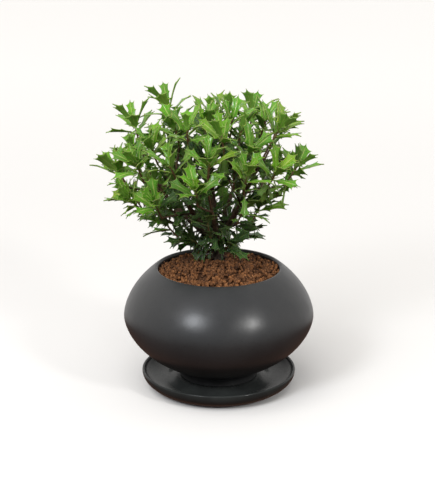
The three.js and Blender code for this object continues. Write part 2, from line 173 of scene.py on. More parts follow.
class Look:
    """A material with one Principled shader, whose pattern is built up node by node."""

    def __init__(self, name, **values):
        self.material = bpy.data.materials.new(name)
        self.material.use_nodes = True
        self.tree = self.material.node_tree
        self.tree.nodes.clear()
        self.shader = self.add("ShaderNodeBsdfPrincipled", values)
        output = self.add("ShaderNodeOutputMaterial")
        self.tree.links.new(self.shader.outputs[0], output.inputs[0])
        self.place = self.add("ShaderNodeTexCoord").outputs["Object"]

    def add(self, kind, inputs=None, **settings):
        made = self.tree.nodes.new(kind)
        for key, value in settings.items():
            setattr(made, key, value)
        for key, value in (inputs or {}).items():
            self.put(made.inputs[key.replace("_", " ") if isinstance(key, str) else key], value)
        return made

    def put(self, socket, value):
        if isinstance(value, bpy.types.NodeSocket):
            self.tree.links.new(value, socket)
        elif isinstance(value, (tuple, list)) and len(value) == 3 and socket.type == "RGBA":
            socket.default_value = (*value, 1.0)
        else:
            socket.default_value = value

    def set(self, **values):
        for key, value in values.items():
            self.put(self.shader.inputs[key.replace("_", " ")], value)

    def noise(self, size, detail=3.0, rough=0.5, stretch=(1, 1, 1)):
        """Cloudy noise from 0 to 1 whose lumps are about a size across, in metres."""
        placed = self.add("ShaderNodeMapping", {"Vector": self.place, "Scale": stretch}).outputs[0]
        inputs = {"Vector": placed, "Scale": 1 / size, "Detail": detail, "Roughness": rough}
        return self.add("ShaderNodeTexNoise", inputs).outputs["Fac"]

    def split(self, attribute):
        """The three numbers of a point attribute."""
        vector = self.add("ShaderNodeAttribute", attribute_name=attribute).outputs["Vector"]
        return self.add("ShaderNodeSeparateXYZ", {0: vector}).outputs

    def math(self, operation, a, b=0.0):
        return self.add("ShaderNodeMath", {0: a, 1: b}, operation=operation).outputs[0]

    def between(self, value, low, high, out_low=0.0, out_high=1.0):
        """Maps a value from one range to another on an even curve."""
        inputs = {0: value, 1: low, 2: high, 3: out_low, 4: out_high}
        return self.add("ShaderNodeMapRange", inputs, interpolation_type="SMOOTHSTEP").outputs[0]

    def mix(self, share, a, b):
        made = self.add("ShaderNodeMix", data_type="RGBA")
        self.put(made.inputs[0], share)
        self.put(made.inputs[6], a)
        self.put(made.inputs[7], b)
        return made.outputs[2]

    def bump(self, height, depth, strength=1.0, normal=None):
        """Bump from a height of 0 to 1 that stands for a depth in metres."""
        inputs = {"Height": height, "Distance": depth, "Strength": strength}
        if normal is not None:
            inputs["Normal"] = normal
        return self.add("ShaderNodeBump", inputs).outputs[0]


def clay_look():
    """Satin dark stoneware: slightly mottled, with a fine tooth and a few darker specks."""
    look = Look("satin_stoneware", Specular_IOR_Level=0.5)
    cloud = look.noise(0.035, 4)
    speck = look.between(look.noise(0.0011, 2), 0.62, 0.72)
    base = look.mix(look.between(cloud, 0.3, 0.7), (0.0225, 0.0235, 0.0245), (0.0305, 0.031, 0.0315))
    base = look.mix(look.math("MULTIPLY", speck, 0.45), base, (0.009, 0.009, 0.01))
    fine = look.noise(0.0009, 3)
    wear = look.noise(0.012, 4)
    look.set(
        Base_Color=base,
        Roughness=look.between(wear, 0.25, 0.75, 0.31, 0.37),
        Normal=look.bump(wear, 0.00025, 0.5, look.bump(fine, 0.00004, 0.6)),
    )
    return look.material


def glaze_look():
    """Glossy near-black glaze, a little wavy, with a greenish cast where it is thick."""
    look = Look("black_glaze", Specular_IOR_Level=0.16, Coat_Weight=0.05, Coat_Roughness=0.05)
    cloud = look.noise(0.02, 4)
    base = look.mix(look.between(cloud, 0.3, 0.7), (0.021, 0.023, 0.0225), (0.031, 0.034, 0.033))
    ripple = look.noise(0.006, 2)
    look.set(
        Base_Color=base,
        Roughness=look.between(look.noise(0.004, 4), 0.3, 0.7, 0.2, 0.25),
        Normal=look.bump(ripple, 0.00008, 0.4),
    )
    return look.material


def soil_look():
    """Baked-clay grains: each has its own tone, some are darker at random, and all are pitted. The bed under
    them is darkened with painted shade, as in the gaps between the grains.
    """
    look = Look("baked_clay_grains", Roughness=0.92, Specular_IOR_Level=0.25)
    tone, dark_tone_and_shade, _ = look.split("grain_tone")
    patch = look.noise(0.0012, 4, 0.65)
    base = look.mix(tone, (0.03, 0.012, 0.007), (0.27, 0.108, 0.036))
    base = look.mix(look.between(patch, 0.45, 0.75), base, (0.34, 0.165, 0.075))
    base = look.mix(look.between(patch, 0.5, 0.2), base, (0.03, 0.012, 0.007))
    # Darker grains picked at random; on the bed this same share is painted shade between the grains.
    base = look.mix(look.math("MULTIPLY", dark_tone_and_shade, 0.55), base, (0.03, 0.014, 0.009))
    pits = look.noise(0.0007, 4, 0.7)
    look.set(Base_Color=base, Normal=look.bump(pits, 0.0004, 0.8, look.bump(patch, 0.0006, 0.6)))
    return look.material


def bark_look():
    """Bark: grey-brown and cracked on the trunk, smoother and redder on the twigs."""
    look = Look("bark", Specular_IOR_Level=0.3)
    trunk = [TRUNK_X * MM, TRUNK_Y * MM, TRUNK_FOOT * MM]
    away = look.add("ShaderNodeVectorMath", {0: look.place, 1: trunk}, operation="DISTANCE")
    young = look.between(away.outputs["Value"], 0.018, 0.065)
    ridges = look.noise(0.0016, 5, 0.65, stretch=(1, 1, 0.35))
    lichen = look.between(look.noise(0.004, 3), 0.6, 0.72)
    old = look.mix(look.between(ridges, 0.35, 0.65), (0.015, 0.011, 0.008), (0.075, 0.054, 0.036))
    old = look.mix(look.math("MULTIPLY", lichen, 0.35), old, (0.08, 0.088, 0.06))
    fresh = look.mix(look.between(ridges, 0.35, 0.65), (0.045, 0.024, 0.013), (0.11, 0.062, 0.03))
    look.set(
        Base_Color=look.mix(young, old, fresh),
        Roughness=look.between(young, 0, 1, 0.88, 0.6),
        Normal=look.bump(ridges, 0.0006, 0.8),
    )
    return look.material


def stem_look():
    """This year's stems and stalks: reddish brown that turns green towards the leaf."""
    look = Look("young_stem", Roughness=0.5)
    _, along, _ = look.split("leaf_place")
    streak = look.noise(0.0012, 4, 0.6)
    red = look.mix(streak, (0.06, 0.029, 0.013), (0.14, 0.075, 0.028))
    green = look.mix(streak, (0.10, 0.14, 0.03), (0.22, 0.24, 0.06))
    look.set(
        Base_Color=look.mix(look.between(along, 0.25, 0.9), red, green),
        Normal=look.bump(streak, 0.0002, 0.5),
    )
    return look.material


def leaf_look():
    """A waxy holly leaf. leaf_place holds where a point is across and along the blade and how near a spine's
    tip, with 2 added on the under side. leaf_tone holds how dark, yellow and bluish the leaf is; its
    darkness is mostly painted shade."""
    look = Look(
        "holly_leaf", Specular_IOR_Level=0.42, Subsurface_Weight=0.3, Subsurface_Scale=1.0,
        Subsurface_Radius=(0.0008, 0.0016, 0.0003),
    )
    across, along, spine = look.split("leaf_place")
    dark, yellow, blue = look.split("leaf_tone")
    side = look.math("ABSOLUTE", across)
    under = look.between(spine, 1.4, 1.6)
    tip = look.math("SUBTRACT", spine, look.math("MULTIPLY", under, 2.0))
    patch = look.noise(0.006, 3)
    fine = look.noise(0.0009, 3)
    base = look.mix(patch, (0.044, 0.195, 0.004), (0.128, 0.375, 0.006))
    base = look.mix(yellow, base, (0.28, 0.35, 0.025))
    base = look.mix(blue, base, (0.05, 0.16, 0.035))
    # The dark share, mostly painted shade, turns the blade towards a shaded deep green.
    base = look.mix(dark, base, (0.016, 0.038, 0.017))
    # Side veins sweep forward from the midrib.
    phase = look.math("SUBTRACT", look.math("MULTIPLY", along, 46.0), look.math("MULTIPLY", side, 9.0))
    wave = look.math("SINE", phase)
    vein = look.math("MULTIPLY", look.between(wave, 0.72, 1.0), look.between(side, 0.95, 0.55))
    midrib = look.between(side, 0.11, 0.035)
    margin = look.between(side, 0.87, 0.95)
    # The pale veins, midrib and margin are dimmed by the same painted shade.
    pale = look.mix(dark, (0.40, 0.47, 0.13), (0.07, 0.11, 0.04))
    base = look.mix(look.math("MULTIPLY", vein, 0.28), base, pale)
    base = look.mix(look.math("MULTIPLY", midrib, 0.8), base, pale)
    base = look.mix(look.math("MULTIPLY", margin, 0.85), base, pale)
    base = look.mix(look.between(tip, 0.8, 0.97), base, (0.06, 0.028, 0.012))
    # The under side is paler green, and the painted shade dims it too.
    below = look.mix(0.55, base, look.mix(dark, (0.2, 0.34, 0.06), (0.03, 0.06, 0.02)))
    base = look.mix(under, base, below)
    base = look.mix(look.math("MULTIPLY", look.between(fine, 0.35, 0.7), 0.18), base, (0.2, 0.34, 0.06))
    raised = look.math("ADD", look.math("MULTIPLY", vein, 0.5), look.math("MULTIPLY", fine, 0.3))
    waxy = look.between(patch, 0.3, 0.7, 0.22, 0.32)
    look.set(
        Base_Color=base,
        Roughness=look.math("ADD", waxy, look.math("MULTIPLY", under, 0.25)),
        Normal=look.bump(raised, 0.00025, 0.6),
    )
    return look.material


def net_look():
    """Dark green plastic."""
    look = Look("drain_net", Roughness=0.6)
    fine = look.noise(0.0015, 3)
    base = look.mix(fine, (0.014, 0.02, 0.016), (0.03, 0.038, 0.032))
    look.set(Base_Color=base, Normal=look.bump(fine, 0.0001))
    return look.material


def floor_look():
    """A plain pale floor, a little paler far behind the object."""
    look = Look("pale_floor", Roughness=0.75, Specular_IOR_Level=0.2)
    cloud = look.noise(0.3, 3)
    pale = look.mix(cloud, (0.7, 0.69, 0.68), (0.716, 0.706, 0.696))
    place = look.add("ShaderNodeSeparateXYZ", {0: look.add("ShaderNodeTexCoord").outputs["Object"]})
    far = look.between(place.outputs[1], 0.1, 1.6)
    look.set(Base_Color=look.mix(far, pale, (0.83, 0.822, 0.812)))
    return look.material


# ---------------- pot, saucer and net

def pot_radius(height, inset):
    """The pot's radius at a height, for a face that lies an inset inside the outer one."""
    rise = height - POT_WIDEST
    reach = (POT_SHOULDER if rise > 0 else POT_BELLY) - inset
    return (POT_RADIUS - inset) * math.sqrt(max(0.0, 1 - (abs(rise) / reach) ** POT_FULLNESS))


def pot_height(radius, inset, side):
    """The height at which it has a radius: side is 1 above the widest place and -1 below it."""
    reach = (POT_SHOULDER if side > 0 else POT_BELLY) - inset
    return POT_WIDEST + side * reach * (1 - (radius / (POT_RADIUS - inset)) ** 2) ** (1 / POT_FULLNESS)


def pot_curve(start, end, inset, steps):
    """Points of the pot's profile from one height to another."""
    heights = np.linspace(start, end, steps + 1)
    return [(pot_radius(height, inset), height) for height in heights]


POT_LIP_OUTER = POT_MOUTH + POT_LIP * (1 + math.cos(math.radians(POT_LIP_TURN)))
POT_LIP_CENTRE = pot_height(POT_LIP_OUTER, 0, 1) - POT_LIP * math.sin(math.radians(POT_LIP_TURN))
POT_RIM = POT_LIP_CENTRE + POT_LIP
FOOT_HEIGHT = SEAT_HEIGHT + GAP
RECESS_HEIGHT = FOOT_HEIGHT + POT_RECESS
POT_FLOOR_TOP = RECESS_HEIGHT + POT_FLOOR
FLOOR_RADIUS = POT_FOOT - POT_WALL
FLOOR_CORNER = 3.0  # how far outside the flat floor the inner wall starts
FOOT_ROUND = 0.9
FOOT_BEVEL = 0.6
OUTER_STEPS = 30
INNER_STEPS = 14


def add_pot(look):
    outside = pot_curve(pot_height(POT_FOOT, 0, -1), POT_WIDEST, 0, OUTER_STEPS)
    outside += pot_curve(POT_WIDEST, pot_height(POT_LIP_OUTER, 0, 1), 0, OUTER_STEPS)[1:-1]
    inner_foot = pot_height(FLOOR_RADIUS + FLOOR_CORNER, POT_WALL, -1)
    inside = pot_curve(pot_height(POT_MOUTH, POT_WALL, 1), POT_WIDEST, POT_WALL, INNER_STEPS)
    inside += pot_curve(POT_WIDEST, inner_foot, POT_WALL, INNER_STEPS)[1:]
    recess_radius = POT_FOOT - POT_FOOT_WIDTH
    profile = [
        (DRAIN_RADIUS, RECESS_HEIGHT),
        (recess_radius, RECESS_HEIGHT),
        (recess_radius + FOOT_BEVEL, FOOT_HEIGHT),
        *arc((POT_FOOT - FOOT_ROUND, FOOT_HEIGHT + FOOT_ROUND), FOOT_ROUND, -90, 0, 4),
        *outside,
        *arc((POT_MOUTH + POT_LIP, POT_LIP_CENTRE), POT_LIP, POT_LIP_TURN, 180, 8),
        *inside,
        (FLOOR_RADIUS, POT_FLOOR_TOP),
        (DRAIN_RADIUS, POT_FLOOR_TOP),
    ]
    vertices, faces = turned(profile, closed=True)
    face_outwards(make_piece("stoneware_pot", vertices, faces, [look], ["pot"]))


def dish_radius(height, base, lip, rise):
    """The radius at a height of a dish that curves from its base up to its lip."""
    return base + (lip - base) * math.sqrt(max(0.0, 1 - (1 - height / rise) ** 2))


def add_saucer(look):
    lip_height = SAUCER_HEIGHT - SAUCER_LIP_ROUND
    steps = 1 - np.cos(np.linspace(0, math.pi / 2, 15))
    outside = [
        (dish_radius(t * lip_height, SAUCER_BASE, SAUCER_LIP, lip_height), t * lip_height)
        for t in steps
    ]
    depth = lip_height - SAUCER_FLOOR
    inner_lip = SAUCER_LIP - 2 * SAUCER_LIP_ROUND
    inside = [
        (dish_radius(t * depth, SAUCER_GUTTER, inner_lip, depth), SAUCER_FLOOR + t * depth)
        for t in steps[::-1]
    ]
    shares = np.linspace(0, 1, 17)
    rise = (SEAT_HEIGHT - SAUCER_FLOOR) * (0.5 - 0.5 * np.cos(math.pi * shares))
    seat = np.stack([SAUCER_GUTTER + (SEAT_RADIUS - SAUCER_GUTTER) * shares, SAUCER_FLOOR + rise], axis=1)
    profile = [
        (0.0, 0.0),
        *outside[:-1],
        *arc((SAUCER_LIP - SAUCER_LIP_ROUND, lip_height), SAUCER_LIP_ROUND, 0, 180, 10),
        *inside[1:],
        *seat[1:].tolist(),
        (0.0, SEAT_HEIGHT),
    ]
    vertices, faces = turned(profile)
    face_outwards(make_piece("glazed_saucer", vertices, faces, [look], ["saucer"]))


# ---------------- soil

BED_BELOW = 1.5  # how far the bed lies below the grains' middle height
BED_TOP_BAND = 2.0  # how far below the soil's edge its lumps begin
# The bed's pale share and darkening. The high darkening is painted shade for the gaps between the grains.
BED_SHADE_TONE = (0.2, 0.9, 0.0)
BED_LUMPS = 1.1
BED_LUMP_SIZE = 2.2
BED_LAYER, HILL_LAYER = 3.0, 7.0  # heights at which the noise is cut
GRAIN_FROM_WALL = 1.6
GRAIN_FROM_TRUNK = 6.5
HILL_RISE = 0.9
HILL_SIZE = 9.0
# How many grains a layer has, their smallest and largest size, and how far they lie from the middle height.
GRAIN_LAYERS = [(1150, 1.25, 1.9, -0.9, 0.4), (620, 0.8, 1.6, 0.5, 1.3)]


def soil_height(radius, edge):
    """The grains' middle height: a dome that comes down to the wall."""
    share = np.clip(np.asarray(radius) / edge, 0, 1)
    return POT_RIM - SOIL_BELOW_RIM + SOIL_CROWN * (0.5 + 0.5 * np.cos(math.pi * share))


def add_tones(piece, name, values):
    """A point attribute of three numbers."""
    attribute = piece.data.attributes.new(name, "FLOAT_VECTOR", "POINT")
    attribute.data.foreach_set("vector", np.asarray(values, dtype=np.float32).ravel())


def add_soil(look):
    """The bed below, which is lumpy and darkened with painted shade, and the grains that lie on it."""
    inset = POT_WALL + GAP
    soil_edge = POT_RIM - SOIL_BELOW_RIM
    side = pot_curve(pot_height(FLOOR_RADIUS + FLOOR_CORNER - GAP, inset, -1), POT_WIDEST, inset, 10)
    side += pot_curve(POT_WIDEST, soil_edge - BED_BELOW, inset, 10)[1:]
    edge = side[-1][0]
    radii = edge * np.linspace(0.98, 0.02, 40)
    dome = [(radius, float(soil_height(radius, edge)) - BED_BELOW) for radius in radii]
    bottom = POT_FLOOR_TOP + GAP
    over_net = bottom + 1.2
    top = soil_edge + SOIL_CROWN - BED_BELOW
    vertices, faces = turned([(0.0, over_net), (FLOOR_RADIUS - GAP, bottom), *side, *dome, (0.0, top)])
    for vertex in vertices:
        if vertex[2] > soil_edge - BED_TOP_BAND:
            spot = (vertex[0] / BED_LUMP_SIZE, vertex[1] / BED_LUMP_SIZE, BED_LAYER)
            vertex[2] += BED_LUMPS * noise.noise(spot)
    bed = make_piece("soil_bed", vertices, faces, [look], ["soil"])
    add_tones(bed, "grain_tone", [BED_SHADE_TONE] * len(vertices))
    face_outwards(bed)
    add_grains(look, edge)


def grain_shape(rng, corners, links):
    """One irregular grain: a ball whose points are pushed in and out."""
    stretch = rng.uniform(0.72, 1.2, 3)
    lumps = rng.normal(0, 0.13, len(corners))
    for a, b in links:
        lumps[a] = lumps[b] = (lumps[a] + lumps[b]) / 2
    return corners * (1 + lumps)[:, None] * stretch


def add_grains(look, edge):
    """Loose grains in two layers, the upper one smaller. grain_tone holds how pale each is and how much
    darker, at random.
    """
    rng = np.random.default_rng(21)
    ball = bmesh.new()
    bmesh.ops.create_icosphere(ball, subdivisions=2, radius=1.0)
    corners = np.array([v.co[:] for v in ball.verts])
    triangles = [[v.index for v in face.verts] for face in ball.faces]
    links = [(e.verts[0].index, e.verts[1].index) for e in ball.edges][::3]
    ball.free()
    vertices, faces, tones = [], [], []
    for count, smallest, largest, low, high in GRAIN_LAYERS:
        for _ in range(count):
            radius = (edge - GRAIN_FROM_WALL) * math.sqrt(rng.uniform())
            angle = rng.uniform(0, 2 * math.pi)
            place = np.array([radius * math.cos(angle), radius * math.sin(angle), 0.0])
            if np.hypot(place[0] - TRUNK_X, place[1] - TRUNK_Y) < GRAIN_FROM_TRUNK:
                continue
            hill = HILL_RISE * noise.noise((place[0] / HILL_SIZE, place[1] / HILL_SIZE, HILL_LAYER))
            place[2] = float(soil_height(radius, edge)) + rng.uniform(low, high) + hill
            size = rng.uniform(smallest, largest)
            spin = np.linalg.qr(rng.normal(size=(3, 3)))[0]
            spin *= np.sign(np.linalg.det(spin))
            shape = grain_shape(rng, corners, links) @ spin.T * size + place
            first = len(vertices) * len(corners)
            vertices.append(shape)
            faces.extend([[first + i for i in triangle] for triangle in triangles])
            tone = (np.clip(rng.normal(0.5, 0.28), 0, 1), rng.uniform() ** 3, 0.0)
            tones.extend([tone] * len(corners))
    grains = make_piece("soil_grains", np.concatenate(vertices), faces, [look])
    add_tones(grains, "grain_tone", tones)


# ---------------- wood

WOOD_VOXEL = 0.52
WOOD_SWELL = 0.12  # makes up for what the smoothing takes off


def add_wood(look):
    """Trunk, boughs and twigs: the CAD's wood with its flats rounded off and furrows worked into the bark.
    Returns its points and their normals."""
    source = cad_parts["trunk_and_branches"]
    rough = bpy.data.objects.new("rough_wood", source.data.copy())
    bpy.context.scene.collection.objects.link(rough)
    weld = rough.modifiers.new("weld", "WELD")
    weld.merge_threshold = 0.005 * MM
    remesh = rough.modifiers.new("remesh", "REMESH")
    remesh.mode = "VOXEL"
    remesh.voxel_size = WOOD_VOXEL * MM
    relax = rough.modifiers.new("relax", "SMOOTH")
    relax.factor = 0.5
    relax.iterations = 9
    shaped = rough.evaluated_get(bpy.context.evaluated_depsgraph_get()).to_mesh()
    count = len(shaped.vertices)
    points = np.empty(count * 3)
    normals = np.empty(count * 3)
    shaped.vertices.foreach_get("co", points)
    shaped.vertices.foreach_get("normal", normals)
    points = points.reshape(-1, 3) / MM
    normals = normals.reshape(-1, 3)
    faces = [list(polygon.vertices) for polygon in shaped.polygons]
    away = np.linalg.norm(points - [TRUNK_X, TRUNK_Y, TRUNK_FOOT], axis=1)
    thick = 1 - smooth_step(14, 60, away)
    for i, (x, y, z) in enumerate(points):
        furrow = noise.noise((x * 0.75, y * 0.75, z * 0.28))
        furrow += 0.5 * noise.noise((x * 1.9, y * 1.9, z * 0.8))
        points[i] += normals[i] * (WOOD_SWELL + furrow * (0.12 + 0.42 * thick[i]))
    bpy.data.objects.remove(rough)
    make_piece("wood", points, faces, [look], ["trunk_and_branches"])
    return points, normals


# ---------------- finding the CAD's leaves

WELD_STEPS = 200  # points are the same if they agree to 1/200 mm
BLADE_PAIR = 0.9  # a leaf's middle points above and below are nearer than this
FEWEST_POINTS = 6
POINT_BONUS = 0.004
LARGEST_ERROR = 0.05
SMALLEST_LEAF = 0.4


def cad_outline():
    """The CAD leaf's outline points from right to left round the tip, in millimetres at size 1."""
    scale = np.array([LEAF_WIDTH, LEAF_LENGTH, LEAF_LENGTH])
    right = [np.array(point) * scale for point in CAD_SIDE]
    tip = np.array(CAD_TIP) * scale
    left = [point * [-1, 1, 1] for point in reversed(right)]
    return np.array([*right, tip, *left])


def fit_frame(shape, found):
    """The size, rotation and place that bring a shape's points to the found ones, and how far off they
    stay."""
    shape_middle, found_middle = shape.mean(axis=0), found.mean(axis=0)
    a, b = shape - shape_middle, found - found_middle
    u, stretch, v = np.linalg.svd(b.T @ a)
    flip = np.diag([1, 1, np.sign(np.linalg.det(u @ v))])
    rotation = u @ flip @ v
    size = (stretch * np.diag(flip)).sum() / (a * a).sum()
    place = found_middle - size * rotation @ shape_middle
    error = np.abs(size * a @ rotation.T - b).max()
    return size, rotation, place, error


def welded(node):
    """A CAD node's points in millimetres, with doubles joined, and the set of neighbours of each."""
    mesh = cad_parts[node].data
    lookup, points, index = {}, [], []
    for vertex in mesh.vertices:
        key = tuple(round(c / MM * WELD_STEPS) for c in vertex.co)
        if key not in lookup:
            lookup[key] = len(points)
            points.append([c / MM for c in vertex.co])
        index.append(lookup[key])
    neighbours = [set() for _ in points]
    for polygon in mesh.polygons:
        corners = [index[i] for i in polygon.vertices]
        for a, b in zip(corners, corners[1:] + corners[:1]):
            if a != b:
                neighbours[a].add(b)
                neighbours[b].add(a)
    return np.array(points), neighbours


def longest_chain(ring, neighbours):
    """The longest row of points in a ring that follow each other along the mesh's edges."""
    best = []
    for start in [i for i in ring if len(neighbours[i] & ring) == 1]:
        chain = [start]
        while True:
            following = [i for i in neighbours[chain[-1]] & ring if i not in chain]
            if not following:
                break
            chain.append(following[0])
        best = max(best, chain, key=len)
    return best


def fit_leaf(points, chain, template):
    """The leaf frame that fits a chain of outline points, which may lack some at its ends or have too many,
    and how far off it stays. A longer match is preferred a little."""
    fits = []
    for order in (chain, chain[::-1]):
        for shift in range(FEWEST_POINTS - len(template), len(chain) - FEWEST_POINTS + 1):
            pairs = [(i, i + shift) for i in range(len(template)) if 0 <= i + shift < len(chain)]
            found = points[[order[j] for _, j in pairs]]
            size, rotation, place, error = fit_frame(template[[i for i, _ in pairs]], found)
            fits.append((error - POINT_BONUS * len(pairs), error, size, rotation, place))
    return min(fits, key=lambda fit: fit[0])[1:]


def read_shoot(node):
    """The leaves of a CAD shoot, each as (size, rotation, place), and the two ends of its stem."""
    points, neighbours = welded(node)
    template = cad_outline()
    leaves, used = [], set()
    for a in range(len(points)):
        near = [b for b in range(a + 1, len(points)) if np.linalg.norm(points[a] - points[b]) < BLADE_PAIR]
        for b in near:
            chain = longest_chain(neighbours[a] & neighbours[b] - used, neighbours)
            if a in used or b in used or len(chain) < FEWEST_POINTS:
                continue
            error, size, rotation, place = fit_leaf(points, chain, template)
            if error < LARGEST_ERROR and size > SMALLEST_LEAF:
                leaves.append((size, rotation, place))
                used.update([a, b, *chain])
    rest = np.array([points[i] for i in range(len(points)) if i not in used])
    middle = rest.mean(axis=0)
    axis = np.linalg.svd(rest - middle)[2][0]
    if leaves and np.mean([leaf[2] for leaf in leaves], axis=0) @ axis < middle @ axis:
        axis = -axis
    along = (rest - middle) @ axis
    return leaves, middle + axis * along.min(), middle + axis * along.max()


# ---------------- leaves

FINE_COLUMNS = np.array([-1, -0.93, -0.7, -0.35, -0.07, 0, 0.07, 0.35, 0.7, 0.93, 1])
PLAIN_COLUMNS = np.array([-1, -0.85, -0.4, 0, 0.4, 0.85, 1])
UNDER_COLUMNS = np.array([1, 0.5, 0, -0.5, -1])
BLADE = 0.42  # thickness of the blade
BLADE_START = 0.085  # where it starts along the stalk, as a share of the length

# A spine's place across and along, the way it points in degrees up from straight sideways, where its vein
# leaves the midrib, and how high the edge is there and half way on to the next spine. All but the angle are
# shares of the leaf's width, for the first, or its length.
FEW_SPINES = [
    (0.52, 0.38, 20, 0.23, 0.015, 0.025),
    (0.6, 0.91, 42, 0.62, 0.0, 0.02),
]
MORE_SPINES = [
    (0.45, 0.25, 12, 0.14, 0.01, 0.03),
    (0.53, 0.57, 24, 0.38, 0.02, 0.02),
    (0.57, 0.92, 44, 0.66, 0.0, 0.01),
]
STALK_END = (0.035, BLADE_START, 80, BLADE_START, 0.0, 0.01)  # the blade's first stop, said likewise
LEAF_END = 1.07  # where the end spine's point is along the leaf
END_DROP = 0.045  # and how far it hangs
TIP_SPINE = (0.0, LEAF_END, 90, LEAF_END, -END_DROP, 0.0)  # the last stop
FIRST_HANDLE, BACK_HANDLE, LAST_HANDLE = 0.4, 0.48, 0.46  # lengths of the edge curves' handles
CREST = 0.06  # how high the midrib arches
GROOVE_DEPTH = 0.22
GROOVE_WIDTH = 0.06


def leaf_rows(spines, steps):
    """Rows of a unit leaf's right side: edge point, height of the edge, midrib place and nearness of a
    spine."""
    size = np.array([LEAF_WIDTH, LEAF_LENGTH])
    stops = [STALK_END, *spines, TIP_SPINE]
    edge, rise, midrib, near = [], [], [], []
    for low, high in zip(stops, stops[1:]):
        start, end = np.array(low[:2]) * size, np.array(high[:2]) * size
        span = np.linalg.norm(end - start)
        first_way = np.array([math.cos(math.radians(low[2])), math.sin(math.radians(low[2]))])
        last_way = np.array([math.cos(math.radians(high[2])), math.sin(math.radians(high[2]))])
        forward = 1 if low is stops[0] else -1
        handle = span * (FIRST_HANDLE if forward > 0 else BACK_HANDLE)
        after_start = start + forward * first_way * handle
        before_end = end - last_way * span * LAST_HANDLE
        edge.append(bezier(start, after_start, before_end, end, steps))
        t = np.linspace(0, 1, steps, endpoint=False)
        between = 2 * low[5] - (low[4] + high[4]) / 2
        rise.append((1 - t) ** 2 * low[4] + 2 * t * (1 - t) * between + t * t * high[4])
        midrib.append(low[3] + (high[3] - low[3]) * t)
        near.append(np.maximum(t, 0 if low is stops[0] else 1 - t) ** 4)
    edge = np.concatenate([*edge, [[0.0, LEAF_END * LEAF_LENGTH]]])
    rise = np.concatenate([*rise, [-END_DROP]]) * LEAF_LENGTH
    midrib = np.concatenate([*midrib, [LEAF_END + 0.002]]) * LEAF_LENGTH
    near = np.concatenate([*near, [1.0]])
    edge[:, 0] = np.maximum(edge[:, 0], 0.06)
    return edge, rise, midrib, near


class LeafShape:
    """A unit leaf of one kind: its points by row and column, its faces and what is marked on it."""

    def __init__(self, spines, steps=8, top_columns=FINE_COLUMNS):
        edge, rise, midrib, near = leaf_rows(spines, steps)
        self.rows = len(edge)
        along = midrib / LEAF_LENGTH
        arch = CREST * np.sin(np.clip(along / LEAF_END, 0, 1) ** 0.85 * math.pi)
        crest = LEAF_LENGTH * (arch - END_DROP * along ** 4)
        top = self.surface(top_columns, edge, rise, midrib, crest)
        groove = GROOVE_DEPTH * np.exp(-(top_columns / GROOVE_WIDTH) ** 2)
        top[:, :, 2] -= groove[None, :]
        under = self.surface(UNDER_COLUMNS, edge, rise, midrib, crest)
        under[:, :, 2] -= BLADE * (1 + 0.5 * (np.abs(UNDER_COLUMNS) < 0.1))[None, :]
        loops = np.concatenate([top, under], axis=1)
        self.width = loops.shape[1]
        self.points = loops.reshape(-1, 3)
        columns = np.concatenate([top_columns, UNDER_COLUMNS])
        is_under = np.arange(self.width) >= len(top_columns)
        across = np.tile(columns, self.rows)
        spine = np.outer(near, np.abs(columns) ** 6) + 2.0 * is_under[None, :]
        self.marks = np.stack([across, np.repeat(along, self.width), spine.ravel()], axis=1)
        self.faces = []
        for row in range(self.rows - 1):
            for column in range(self.width):
                a = row * self.width + column
                b = row * self.width + (column + 1) % self.width
                self.faces.append([a, a + self.width, b + self.width, b])
        last = (self.rows - 1) * self.width
        self.faces.append(list(range(self.width)))
        self.faces.append([last + i for i in reversed(range(self.width))])
        self.faces = [face[::-1] for face in self.faces]

    @staticmethod
    def surface(columns, edge, rise, midrib, crest):
        """Points by row and column. A column of -1 is the left edge, 0 the midrib and 1 the right edge."""
        share = np.abs(columns)[None, :]
        x = np.sign(columns)[None, :] * share * edge[:, :1]
        y = midrib[:, None] * (1 - share) + edge[:, 1:] * share
        z = crest[:, None] * (1 - share ** 2) + rise[:, None] * share ** 2
        return np.stack([x, y, z], axis=2)


BEND_MEAN, BEND_SPREAD = -0.02, 0.06
TWIST_SPREAD = 0.22
NARROWEST, BROADEST = 0.68, 0.92
SHARPEST_FOLD = 0.25
FOLD_ROUNDING = 0.3  # in square millimetres


def curled(points, rng):
    """A leaf bent along its length, folded along its midrib, twisted and made narrower, each by its own
    amount."""
    bend = rng.normal(BEND_MEAN, BEND_SPREAD)
    twist = rng.normal(0, TWIST_SPREAD)
    broad = rng.uniform(NARROWEST, BROADEST)
    fold = rng.uniform(0, SHARPEST_FOLD)
    along = points[:, 1] / LEAF_LENGTH
    x = points[:, 0] * broad
    z = points[:, 2] - LEAF_LENGTH * bend * along * along
    z = z + fold * np.sqrt(x * x + FOLD_ROUNDING)
    turn = twist * along
    turned_x = x * np.cos(turn) - z * np.sin(turn)
    turned_z = x * np.sin(turn) + z * np.cos(turn)
    return np.stack([turned_x, points[:, 1], turned_z], axis=1)


